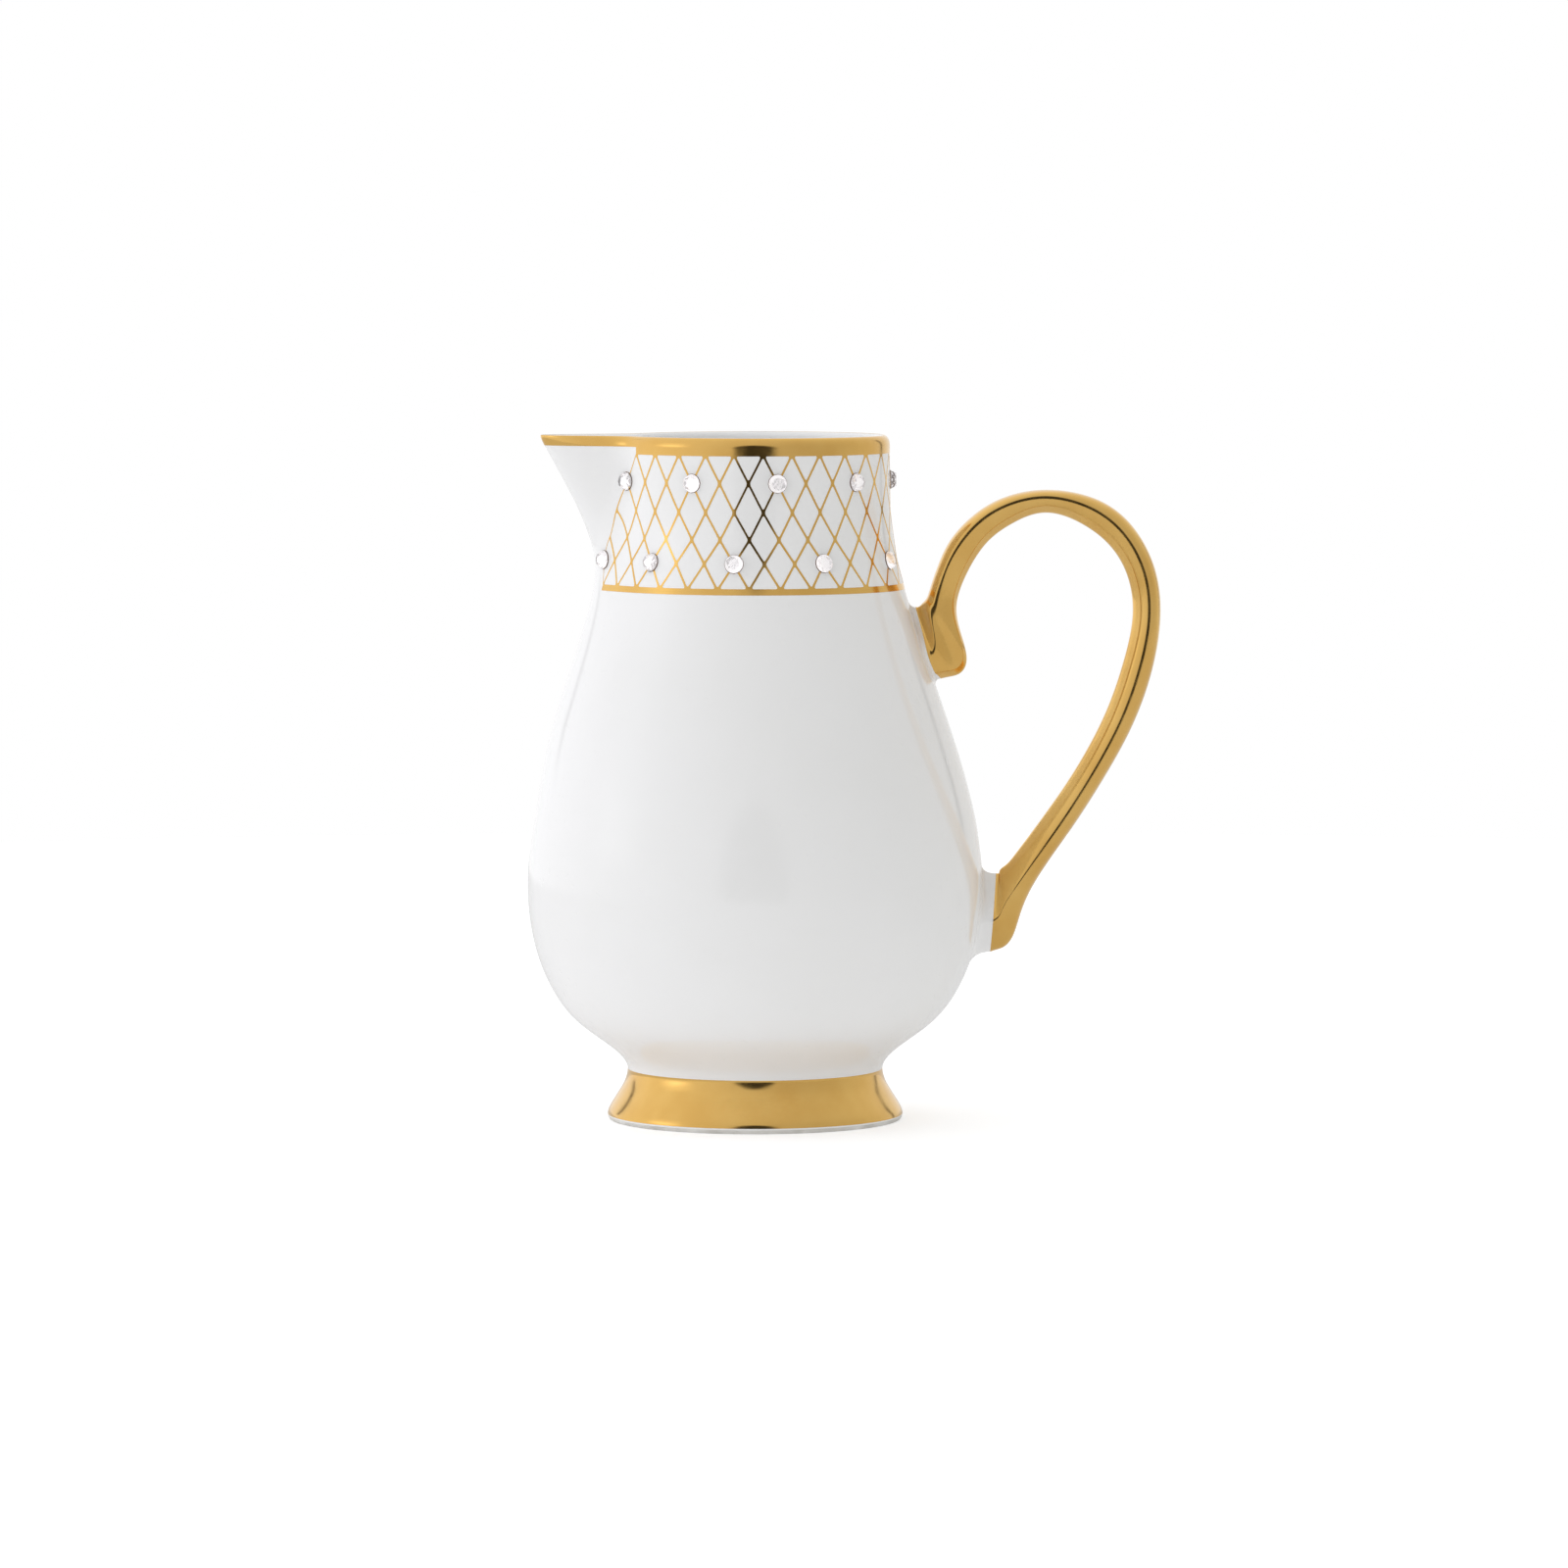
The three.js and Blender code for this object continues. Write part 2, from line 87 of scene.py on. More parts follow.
# Handle ribs: (outer x, outer z, inner x, inner z, half width). The end ribs lie inside the wall.
HANDLE_RIBS = [
    (23.4, 83.6, 27.6, 69.4, 3.55), (25.8, 82.35, 29.9, 70.95, 3.45), (26.8, 82.9, 32.7, 71.7, 3.4),
    (27.6, 83.9, 33.95, 74.1, 3.3), (28.3, 86, 33.1, 78, 3.2), (29.5, 89.4, 32.3, 82.4, 3.15),
    (31.4, 93.2, 33.7, 87.3, 3.1), (34.9, 97, 36.9, 92.5, 3.05), (40, 100, 41.3, 95.9, 3),
    (47.3, 101.2, 47, 97.6, 3), (55.4, 99.4, 53.3, 95.3, 3), (61.1, 94.6, 57.6, 91.5, 3.05),
    (64.3, 87.9, 60, 86.7, 3.1), (65, 80.6, 60.6, 80.8, 3.15), (63.8, 72.7, 59.2, 73.8, 3.2),
    (60.6, 63.5, 56.2, 65.2, 3.25), (55.6, 54.3, 51.6, 56.5, 3.3), (51.2, 47.4, 47.4, 50.2, 3.35),
    (47.3, 41.8, 44.5, 46.2, 3.4), (44.2, 36.8, 42.4, 43.4, 3.45), (42.5, 32.6, 41.1, 41.7, 3.5),
    (41.4, 29.4, 40.2, 40.8, 3.5), (39.9, 27.7, 39.35, 40, 3.55), (37.8, 26.95, 38.75, 39.55, 3.7),
    (33.6, 24.9, 35.4, 41.2, 4.4),
]
GILT_FIRST = 1
GILT_LAST = len(HANDLE_RIBS) - 2
RIB_STEPS = 14
# The ridge along each side of the handle: (rib, share of the depth from the outer edge, degrees the
# side falls from it towards the loop and away from it, half width of its flat top in mm).
RIDGE_KNOTS = [
    (0, 0.68, 13, 34, 0.5), (1, 0.62, 13, 34, 0.6), (1.5, 0.48, 13, 34, 0.8), (2, 0.28, 13, 36, 0.9),
    (3, 0.19, 13, 36, 0.85), (4, 0.22, 14, 34, 0.75), (5, 0.28, 17, 31, 0.6), (6, 0.31, 19, 28, 0.5),
    (8, 0.32, 21, 24, 0.38), (10, 0.4, 22, 21, 0.36), (12, 0.43, 22, 21, 0.36), (16, 0.44, 22, 21, 0.36),
    (19, 0.45, 22, 21, 0.33), (20, 0.53, 22, 21, 0.28), (21, 0.57, 23, 21, 0.22),
    (22, 0.5, 24, 21, 0.15), (23, 0.41, 24, 21, 0.1), (24, 0.35, 24, 21, 0.1),
]
# A narrow edge this deep, in mm, faces the loop.
BEVEL = 1.2
# The ends of the section, as (share of the depth, share of the width): the outer edge in shares of
# the ridge's depth and the shoulder's width, the narrow edge in shares of its own.
OUTER_ROUNDING = [(-0.04, 0), (0.05, 0.6)]
EDGE_ROUNDING = [(0, 1), (0.12, 0.89), (0.7, 0.47)]
# The section's inner end: mm beyond the inner edge, and share of the narrow edge's width.
EDGE_END_PROUD = 0.03
EDGE_END_WIDTH = 0.2
# The control points stand this much wider than the rib, because the curve stays inside them.
SIDE_FULLNESS = 1.02
SECTION_STEPS = 5
FILLET_STEPS = 14
GILT_EXTRA_ROWS = 6
GILT_BOW = 0.35
# Fillets between the handle and the body, in mm, at the outer, side and inner edges of each root.
UPPER_REACHES = (1.2, 2.4, 1.6)
LOWER_REACHES = (2.6, 2.8, 1.6)
ROOT_SINK = 0.02
ROOT_DEPTH = 1.0

# Gold, in mm above the glaze.
GOLD_LOW = 0.004
GOLD_HIGH = 0.03
FOOT_GOLD_TOP = 8.2

# Lattice. The columns are a little closer together at the jug's two sides.
COLUMN_PITCH = 13.25
COLUMN_CROWDING = 2.3
COLUMN_WIDTH = 4.95
MIDDLE_COLUMN = 11.5
ROW_LEVELS = [107.4, 102.9, 98.3, 94.0, 90.25, 86.2]
ROW_FIRST_COLUMNS = [0, -0.5, -1, -1.5, -2, -1.5]
DECAL_BOTTOM = 85.4
DECAL_TOP = LIP_START
STRUT_HALF_WIDTH = 0.17
SQUEEZE_DEGREES = 12.0
SQUEEZE_FROM = 103.0
SQUEEZE_OVER = 9.0
CORNER_FILLET = 0.09
BASE_FILLET = 0.2

# Crystals.
STONE_RADIUS = 1.55
STONE_HEIGHT = 0.95
STONE_GIRDLE = 0.18
STONE_LINE = 0.09
STONE_STANDOFF = 0.05
STONE_EVERY = 3
STONE_ROWS = (("crystal_upper", 1, 9), ("crystal_lower", 4, 10))

# Camera, in mm from the jug's axis on the table.
CAMERA_DISTANCE = 1300.0
CAMERA_HEIGHT = 146.0
CAMERA_ASIDE = 4.65
CAMERA_PITCH = 4.05
FRAME_WIDTH = 252.0
SENSOR_WIDTH = 36.0

foot_low, foot_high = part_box("foot_gilding")
AXIS_X = (foot_low.x + foot_high.x) / 2


def put(points):
    """Points in mm about the jug's axis, as metres in the frame."""
    placed = np.asarray(points, float) * MM
    placed[..., 0] += AXIS_X
    return placed


def natural_spline(knots):
    """A natural cubic spline through (x, y) knots, as a function of x."""
    xs, ys = np.array(knots, float).T
    steps = np.diff(xs)
    slopes = np.diff(ys) / steps
    matrix = np.eye(len(xs))
    right = np.zeros(len(xs))
    for i in range(1, len(xs) - 1):
        matrix[i, i - 1 : i + 2] = steps[i - 1], 2 * (steps[i - 1] + steps[i]), steps[i]
        right[i] = 6 * (slopes[i] - slopes[i - 1])
    bend = np.linalg.solve(matrix, right)

    def value(x):
        x = np.asarray(x, float)
        i = np.clip(np.searchsorted(xs, x) - 1, 0, len(xs) - 2)
        a = (xs[i + 1] - x) / steps[i]
        b = (x - xs[i]) / steps[i]
        sag = ((a**3 - a) * bend[i] + (b**3 - b) * bend[i + 1]) * steps[i] ** 2 / 6
        return a * ys[i] + b * ys[i + 1] + sag

    return value


def spline_path(knots, count):
    """count points along a smooth line through 2-D knots, evenly spaced along it."""
    knots = np.array(knots, float)
    along = np.concatenate([[0], np.cumsum(np.hypot(*np.diff(knots, axis=0).T))])
    at = np.linspace(0, along[-1], count)
    return np.stack([natural_spline(np.stack([along, k], 1))(at) for k in knots.T], 1)


def smooth_step(t):
    t = np.clip(t, 0, 1)
    return t * t * (3 - 2 * t)


outer_radius = natural_spline(OUTER_KNOTS)
beak_spline = natural_spline(BEAK_KNOTS)


def wall_point(azimuth, z, radius, reach_share=1.0, spread_share=1.0):
    """Points on a round wall of that radius with the beak on it. The arguments may be arrays."""
    azimuth, z, radius = np.broadcast_arrays(*(np.asarray(v, float) for v in (azimuth, z, radius)))
    reach = np.where(z > BEAK_END, beak_spline(np.maximum(z, BEAK_END)), 0)
    widening = smooth_step((BEAK_SPREAD_FROM - z) / BEAK_SPREAD_OVER)
    spread = BEAK_SPREAD_RIM + (BEAK_SPREAD_SHOULDER - BEAK_SPREAD_RIM) * widening
    off = ((azimuth + 180) % 360 - 180) / (spread * spread_share)
    r = radius + reach_share * reach * np.exp(-off * off)
    angle = np.radians(azimuth)
    return np.stack([-r * np.cos(angle), -r * np.sin(angle), z], -1)


def inner_point(azimuth, z, radius):
    return wall_point(azimuth, z, radius, INNER_BEAK_REACH, INNER_BEAK_SPREAD)


def outer_point(azimuth, level):
    """The outer face. Levels above LIP_START run over the lip, to its crest at HEIGHT and down its
    inner side to HEIGHT + LIP_ROUND. Along the beak the crest lies close to the outer edge."""
    azimuth, level = np.broadcast_arrays(np.asarray(azimuth, float), np.asarray(level, float))
    turn = np.maximum(level - LIP_START, 0) / LIP_ROUND * math.pi / 2
    z = np.minimum(level, LIP_START) + LIP_ROUND * np.sin(turn)
    off = ((azimuth + 180) % 360 - 180) / BEAK_SPREAD_RIM
    crest = LIP_CREST + (LIP_CREST_BEAK - LIP_CREST) * np.exp(-off * off)
    rising = crest * (1 - np.cos(turn))
    falling = 1 - (1 - crest) * (1 + np.cos(turn))
    share = np.where(turn <= math.pi / 2, rising, falling)[..., None]
    outer = wall_point(azimuth, z, outer_radius(np.minimum(z, LIP_START)))
    return outer * (1 - share) + inner_point(azimuth, z, INNER_KNOTS[-1][0]) * share


def outer_normal(azimuth, level):
    turn, rise = 0.25, 0.02
    across = outer_point(azimuth + turn, level) - outer_point(azimuth - turn, level)
    along = outer_point(azimuth, level) - outer_point(azimuth, level - rise)
    normal = np.cross(across, along)
    return normal / np.linalg.norm(normal, axis=-1, keepdims=True)


def raised_point(azimuth, level, height):
    azimuth, level = np.asarray(azimuth, float), np.asarray(level, float)
    return outer_point(azimuth, level) + outer_normal(azimuth, level) * height


# ---------------------------------------------------------------- mesh helpers


def make_piece(name, points, faces, stands_for, materials, sharp=None, face_material=None):
    """A mesh object that rides on the jug and stands for its CAD nodes."""
    mesh = bpy.data.meshes.new(name)
    mesh.from_pydata([tuple(p) for p in put(points)], [], [tuple(f) for f in faces])
    if sharp is None:
        mesh.shade_flat()
    else:
        mesh.shade_smooth()
        mesh.set_sharp_from_angle(angle=math.radians(sharp))
    for material in materials:
        mesh.materials.append(material)
    if face_material is not None:
        mesh.polygons.foreach_set("material_index", np.asarray(face_material, np.int32))
    mesh.update()
    piece = bpy.data.objects.new(name, mesh)
    bpy.context.scene.collection.objects.link(piece)
    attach(piece, "root")
    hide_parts(*stands_for)
    return piece


def loft(start, rings, end):
    """Points and faces of a closed surface through rings, with a point at each end."""
    rows, count = rings.shape[:2]
    points = np.concatenate([[start], rings.reshape(-1, 3), [end]])
    ids = 1 + np.arange(rows * count).reshape(rows, count)
    after = np.roll(ids, -1, axis=1)
    quads = np.stack([ids[:-1], after[:-1], after[1:], ids[1:]], -1).reshape(-1, 4)
    first = [(0, b, a) for a, b in zip(ids[0], after[0])]
    last = [(len(points) - 1, a, b) for a, b in zip(ids[-1], after[-1])]
    return points, [*quads.tolist(), *first, *last]


def thin_shell(count, faces, place, low, high):
    """A net of faces given twice, at two heights, with walls along its open edges."""
    points = np.concatenate([place(high), place(low)])
    edges = {(a, b) for face in faces for a, b in zip(face, face[1:] + face[:1])}
    shell = [tuple(face) for face in faces]
    shell += [tuple(count + p for p in reversed(face)) for face in faces]
    shell += [(count + a, count + b, b, a) for a, b in sorted(edges) if (b, a) not in edges]
    return points, shell


def grid_faces(rows, columns, closed):
    """Faces of a grid of points, rows by columns, joined round in the column direction if closed."""
    ids = np.arange(rows * columns).reshape(rows, columns)
    after = np.roll(ids, -1, axis=1)
    quads = np.stack([ids[:-1], after[:-1], after[1:], ids[1:]], -1)
    if not closed:
        quads = quads[:, :-1]
    return quads.reshape(-1, 4).tolist()


# ---------------------------------------------------------------- materials


def new_material(name):
    material = bpy.data.materials.new(name)
    material.use_nodes = True
    nodes, links = material.node_tree.nodes, material.node_tree.links
    return material, nodes, links, nodes["Principled BSDF"].inputs


def add_noise(nodes, links, scale, detail=3.0):
    """Noise in object space, with that many features per metre."""
    place = nodes.new("ShaderNodeTexCoord")
    noise = nodes.new("ShaderNodeTexNoise")
    noise.inputs["Scale"].default_value = scale
    noise.inputs["Detail"].default_value = detail
    links.new(place.outputs["Object"], noise.inputs["Vector"])
    return noise.outputs["Fac"]


def remap(nodes, links, value, low, high):
    """Stretches a value's middle range to low..high."""
    ramp = nodes.new("ShaderNodeMapRange")
    ramp.inputs["From Min"].default_value = 0.3
    ramp.inputs["From Max"].default_value = 0.7
    ramp.inputs["To Min"].default_value = low
    ramp.inputs["To Max"].default_value = high
    links.new(value, ramp.inputs["Value"])
    return ramp.outputs["Result"]


def blend(nodes, links, value, low, high):
    """A colour between low and high, by a value's middle range."""
    mix = nodes.new("ShaderNodeMix")
    mix.data_type = "RGBA"
    links.new(remap(nodes, links, value, 0, 1), mix.inputs[0])
    mix.inputs[6].default_value = (*low, 1)
    mix.inputs[7].default_value = (*high, 1)
    return mix.outputs[2]


def add_bump(nodes, links, height, distance, under=None):
    """Raises a height of 0..1 by that distance in metres, over an earlier bump if there is one."""
    bump = nodes.new("ShaderNodeBump")
    bump.inputs["Distance"].default_value = distance
    links.new(height, bump.inputs["Height"])
    if under is not None:
        links.new(under, bump.inputs["Normal"])
    return bump.outputs["Normal"]


def glazed_porcelain():
    """White body under a clear glaze: clouding in the white, a faint ripple and rare pinholes."""
    material, nodes, links, inputs = new_material("glazed_porcelain")
    white = blend(nodes, links, add_noise(nodes, links, 45), (0.905, 0.905, 0.9), (0.925, 0.925, 0.925))
    links.new(white, inputs["Base Color"])
    inputs["IOR"].default_value = 1.54
    links.new(remap(nodes, links, add_noise(nodes, links, 260), 0.07, 0.13), inputs["Roughness"])
    pits = nodes.new("ShaderNodeMapRange")
    links.new(add_noise(nodes, links, 900, 0), pits.inputs["Value"])
    for name, value in (("From Min", 0.2), ("From Max", 0.24), ("To Min", 0), ("To Max", 1)):
        pits.inputs[name].default_value = value
    ripple = add_bump(nodes, links, add_noise(nodes, links, 120, 1), 0.00004)
    links.new(add_bump(nodes, links, pits.outputs["Result"], 0.000015, ripple), inputs["Normal"])
    return material


def fired_gold():
    """Bright gold film: it follows the glaze, with brush waviness and cloudy patches."""
    material, nodes, links, inputs = new_material("fired_gold")
    cloud = add_noise(nodes, links, 160)
    links.new(blend(nodes, links, cloud, (0.77, 0.46, 0.125), (0.83, 0.525, 0.16)), inputs["Base Color"])
    inputs["Metallic"].default_value = 1
    links.new(remap(nodes, links, add_noise(nodes, links, 500), 0.1, 0.19), inputs["Roughness"])
    wave = add_bump(nodes, links, add_noise(nodes, links, 150, 1), 0.00003)
    grain = add_bump(nodes, links, add_noise(nodes, links, 1400, 2), 0.0000015, wave)
    links.new(grain, inputs["Normal"])
    return material


def crystal_glass():
    """Clear machine-cut glass with faint polishing marks."""
    material, nodes, links, inputs = new_material("crystal_glass")
    cloud = add_noise(nodes, links, 900)
    links.new(blend(nodes, links, cloud, (0.97, 0.96, 0.97), (1, 1, 1)), inputs["Base Color"])
    inputs["Transmission Weight"].default_value = 1
    inputs["IOR"].default_value = 1.56
    links.new(remap(nodes, links, add_noise(nodes, links, 3000), 0.0, 0.04), inputs["Roughness"])
    return material


def mirror_foil_painted_glow():
    """Silvering on the flat back, a little crinkled, with a painted glow: it emits a little light,
    though it is no lamp, to stand in for the sparkle the facets catch.
    """
    material, nodes, links, inputs = new_material("mirror_foil_painted_glow")
    cloud = add_noise(nodes, links, 1500)
    links.new(blend(nodes, links, cloud, (0.96, 0.93, 0.94), (1, 0.98, 0.99)), inputs["Base Color"])
    inputs["Metallic"].default_value = 1
    inputs["Roughness"].default_value = 0.15
    # Painted glow: the foil emits light though it is no lamp, standing in for the sparkle of the facets.
    inputs["Emission Color"].default_value = (1, 0.97, 0.98, 1)
    inputs["Emission Strength"].default_value = 0.3
    links.new(add_bump(nodes, links, add_noise(nodes, links, 2500), 0.00003), inputs["Normal"])
    return material


def brown_lacquer():
    """The coating that seals the silvering, seen as a thin line round each stone."""
    material, nodes, links, inputs = new_material("brown_lacquer")
    cloud = add_noise(nodes, links, 2500)
    links.new(blend(nodes, links, cloud, (0.13, 0.085, 0.06), (0.22, 0.15, 0.11)), inputs["Base Color"])
    links.new(remap(nodes, links, cloud, 0.3, 0.45), inputs["Roughness"])
    return material


def bare_porcelain():
    """The ground foot ring: unglazed, with grinding grain and a little grime."""
    material, nodes, links, inputs = new_material("bare_porcelain")
    grime = add_noise(nodes, links, 220, 5)
    links.new(blend(nodes, links, grime, (0.58, 0.56, 0.52), (0.78, 0.77, 0.74)), inputs["Base Color"])
    links.new(remap(nodes, links, add_noise(nodes, links, 1800), 0.6, 0.8), inputs["Roughness"])
    links.new(add_bump(nodes, links, add_noise(nodes, links, 3500, 4), 0.00003), inputs["Normal"])
    return material


GLAZE = glazed_porcelain()
GOLD = fired_gold()
GLASS = crystal_glass()
FOIL_PAINTED_GLOW = mirror_foil_painted_glow()
LACQUER = brown_lacquer()
BARE = bare_porcelain()

# ---------------------------------------------------------------- body

RING_POINTS = 288
SPOUT_CROWDING = 0.45
# Rows of points on each stretch of the body, and the heights in mm where two stretches meet.
UNDER_ROWS = 34
FOOT_EDGE_ROWS = 7
FOOT_ROWS = 48
WALL_ROWS = 138
LIP_ROWS = 19
INNER_ROWS = 92
FOOT_ROWS_END = 20.0
WALL_ROWS_START = 20.6
UNDER_LAST = (FOOT_RING_INNER - 0.25, 0.1)
# Faces that end this far below the foot edge's top are bare porcelain.
BARE_MARGIN = 0.05


def ring_azimuths():
    """Azimuths round the jug, crowded towards the spout."""
    turn = np.arange(RING_POINTS) / RING_POINTS * 2 * math.pi
    return np.degrees(turn - SPOUT_CROWDING * np.sin(turn))


AZIMUTHS = ring_azimuths()


def foot_edge():
    """The rounded edge between the ground foot ring and the foot's side, (radius, height)."""
    turn = np.linspace(0, math.pi / 2, FOOT_EDGE_ROWS)[:-1]
    across = FOOT_EDGE_RADIUS - FOOT_RING_OUTER
    radius = FOOT_RING_OUTER + across * np.sin(turn)
    return np.stack([radius, FOOT_EDGE_TOP * (1 - np.cos(turn))], 1)


def build_body():
    under = spline_path(UNDER_KNOTS, UNDER_ROWS)[1:]
    under = np.concatenate([under, [UNDER_LAST, (FOOT_RING_INNER, 0)], foot_edge()])
    foot = np.linspace(FOOT_EDGE_TOP, FOOT_ROWS_END, FOOT_ROWS)
    outside = np.concatenate([foot, np.linspace(WALL_ROWS_START, LIP_START, WALL_ROWS)[:-1]])
    lip = LIP_START + np.linspace(0, 2, LIP_ROWS)[:-1] * LIP_ROUND
    inside = spline_path(INNER_KNOTS, INNER_ROWS)[::-1][:-1]
    rings = [wall_point(AZIMUTHS, z, r) for r, z in under]
    rings += [outer_point(AZIMUTHS, level) for level in [*outside, *lip]]
    rings += [inner_point(AZIMUTHS, z, r) for r, z in inside]
    points, faces = loft((0, 0, UNDER_KNOTS[0][1]), np.array(rings), (0, 0, INNER_KNOTS[0][1]))
    heights = points[:, 2]
    bare_top = FOOT_EDGE_TOP - BARE_MARGIN
    bare = [int(max(heights[i] for i in face) < bare_top) for face in faces]
    make_piece("porcelain_body", points, faces, ["jug_body"], [GLAZE, BARE], 60, bare)


build_body()

# ---------------------------------------------------------------- gold bands


def build_band(name, levels, node):
    azimuth, level = np.meshgrid(AZIMUTHS, levels)
    faces = grid_faces(len(levels), RING_POINTS, True)

    def place(height):
        return raised_point(azimuth, level, height).reshape(-1, 3)

    points, shell = thin_shell(azimuth.size, faces, place, GOLD_LOW, GOLD_HIGH)
    make_piece(name, points, shell, [node], [GOLD], 50)


RIM_GOLD_ROWS = 16
FOOT_GOLD_ROWS = 40
build_band("rim_gold", np.linspace(LIP_START, HEIGHT, RIM_GOLD_ROWS), "rim_gilding")
build_band("foot_gold", np.linspace(FOOT_EDGE_TOP, FOOT_GOLD_TOP, FOOT_GOLD_ROWS), "foot_gilding")

# ---------------------------------------------------------------- lattice


def column_azimuth(column, level):
    """Degrees from the spout of a lattice column. The ones by the beak go round its root."""
    even = (COLUMN_PITCH * (np.asarray(column, float) - MIDDLE_COLUMN)) % 360 - 180
    plain = even + COLUMN_CROWDING * np.sin(np.radians(2 * even))
    squeeze = SQUEEZE_DEGREES * smooth_step((SQUEEZE_FROM - np.asarray(level, float)) / SQUEEZE_OVER)
    shift = (np.hypot(plain, squeeze) - np.abs(plain)) * (1 - np.abs(plain) / 180)
    return plain + np.sign(plain) * shift


EDGE_SHARES = (0.0, 0.07, 0.16, 0.3, 0.5, 0.7, 0.84, 0.93)


def rounded_hole(corners, fillets):
    """A polygon's outline with each corner rounded by a curve reaching a share of the edges."""
    outline = []
    count = len(corners)
    for i in range(count):
        here, after, before = corners[i], corners[(i + 1) % count], corners[i - 1]
        far = corners[(i + 2) % count]
        for share in EDGE_SHARES:
            start, stop = fillets[i], fillets[(i + 1) % count]
            point = here + (after - here) * share
            if share < start:
                t = 0.5 + 0.5 * share / start
                a, b = here + (before - here) * start, here + (after - here) * start
                point = a * (1 - t) ** 2 + here * 2 * t * (1 - t) + b * t**2
            elif 1 - share < stop:
                t = 0.5 - 0.5 * (1 - share) / stop
                a, b = after + (here - after) * stop, after + (far - after) * stop
                point = a * (1 - t) ** 2 + after * 2 * t * (1 - t) + b * t**2
            outline.append(point)
    return outline


class Net:
    """Points and faces on (column, level) coordinates, with points that fall together shared."""

    def __init__(self):
        self.points = []
        self.faces = []
        self.found = {}

    def point(self, column, level):
        key = (round(column, 4), round(level, 4))
        if key not in self.found:
            self.found[key] = len(self.points)
            self.points.append(key)
        return self.found[key]

    def face(self, *corners):
        self.faces.append([self.point(*corner) for corner in corners])

    def strip(self, left, low, high):
        """A plain strip one column wide, cut where the cells' points are."""
        shares = [s / 2 for s in EDGE_SHARES] + [0.5 + s / 2 for s in EDGE_SHARES] + [1]
        levels = np.linspace(low, high, 3)
        for a, b in zip(shares, shares[1:]):
            start, stop = left + a, left + b
            for under, over in zip(levels, levels[1:]):
                self.face((start, under), (stop, under), (stop, over), (start, over))

    def cell(self, left, level, above, below):
        """A frame half a strut wide round a rounded hole: a diamond, or half of one."""
        above, below = level if above is None else above, level if below is None else below
        half = level in (above, below)
        half_height = (above - below) / (1 if half else 2)
        side = math.hypot(COLUMN_WIDTH / 2, half_height)
        inradius = COLUMN_WIDTH * half_height / (2 * side + (COLUMN_WIDTH if half else 0))
        lean = math.copysign(inradius, above + below - 2 * level)
        middle = np.array([left + 0.5, level + lean if half else (above + below) / 2])
        scale = 1 - STRUT_HALF_WIDTH / inradius
        corners = [(left, level), (left + 0.5, below), (left + 1, level), (left + 0.5, above)]
        corners = [np.array(corner) for corner in corners]
        base = BASE_FILLET if half else CORNER_FILLET
        fillets = [base, CORNER_FILLET, base, CORNER_FILLET]
        hole = rounded_hole([middle + (corner - middle) * scale for corner in corners], fillets)
        rim = rounded_hole(corners, [0] * 4)
        for i in range(len(rim)):
            k = (i + 1) % len(rim)
            self.face(rim[i], rim[k], hole[k], hole[i])


def build_lattice():
    net = Net()
    bottom = len(ROW_LEVELS) - 1
    for row, (level, first) in enumerate(zip(ROW_LEVELS, ROW_FIRST_COLUMNS)):
        above = ROW_LEVELS[row - 1] if row > 0 else None
        below = ROW_LEVELS[row + 1] if row < bottom else None
        for left in np.arange(first, 2 * MIDDLE_COLUMN - first):
            net.cell(left, level, above, below)
            if row == 0:
                net.strip(left, level, DECAL_TOP)
            if row == bottom:
                net.strip(left, DECAL_BOTTOM, level)
    column, level = np.array(net.points).T
    azimuth = column_azimuth(column, level)

    def place(height):
        return raised_point(azimuth, level, height)

    points, shell = thin_shell(len(column), net.faces, place, GOLD_LOW, GOLD_HIGH)
    make_piece("lattice_gold", points, shell, ["lattice_decal"], [GOLD], 50)


build_lattice()

# ---------------------------------------------------------------- handle


rib_splines = [natural_spline(list(enumerate(values))) for values in zip(*HANDLE_RIBS)]
ridge_share, inner_fall, outer_fall, ridge_flat = (
    natural_spline([(knot[0], knot[k]) for knot in RIDGE_KNOTS]) for k in (1, 2, 3, 4)
)


def rib_section(place):
    """The outer edge, the direction to the inner edge, and the section's control points, as mm from
    the outer edge and mm aside. The section is a closed B-spline round them."""
    outer_x, outer_z, inner_x, inner_z, half = (spline(place) for spline in rib_splines)
    zero = np.zeros_like(half)
    outer = np.stack([outer_x, zero, outer_z], -1)
    inward = np.stack([inner_x, zero, inner_z], -1) - outer
    depth = np.linalg.norm(inward, axis=-1)
    ridge = ridge_share(place) * depth
    flat = ridge_flat(place)
    edge = depth - BEVEL
    full = SIDE_FULLNESS * half
    corner = full - np.tan(np.radians(inner_fall(place))) * (edge - ridge)
    shoulder = (ridge - flat) / 2
    shoulder_width = full - np.tan(np.radians(outer_fall(place))) * shoulder
    half_section = [(a * ridge, b * shoulder_width) for a, b in OUTER_ROUNDING]
    half_section += [(shoulder, shoulder_width), (ridge - flat, full), (ridge + flat, full)]
    half_section += [(edge + a * BEVEL, b * corner) for a, b in EDGE_ROUNDING]
    half_section += [(depth + EDGE_END_PROUD, EDGE_END_WIDTH * corner)]
    controls = half_section + [(a, -b) for a, b in reversed(half_section[1:])]
    return outer, inward / depth[..., None], controls


SECTION_CONTROLS = len(rib_section(np.array(0.0))[2])
SECTION_POINTS = SECTION_CONTROLS * SECTION_STEPS


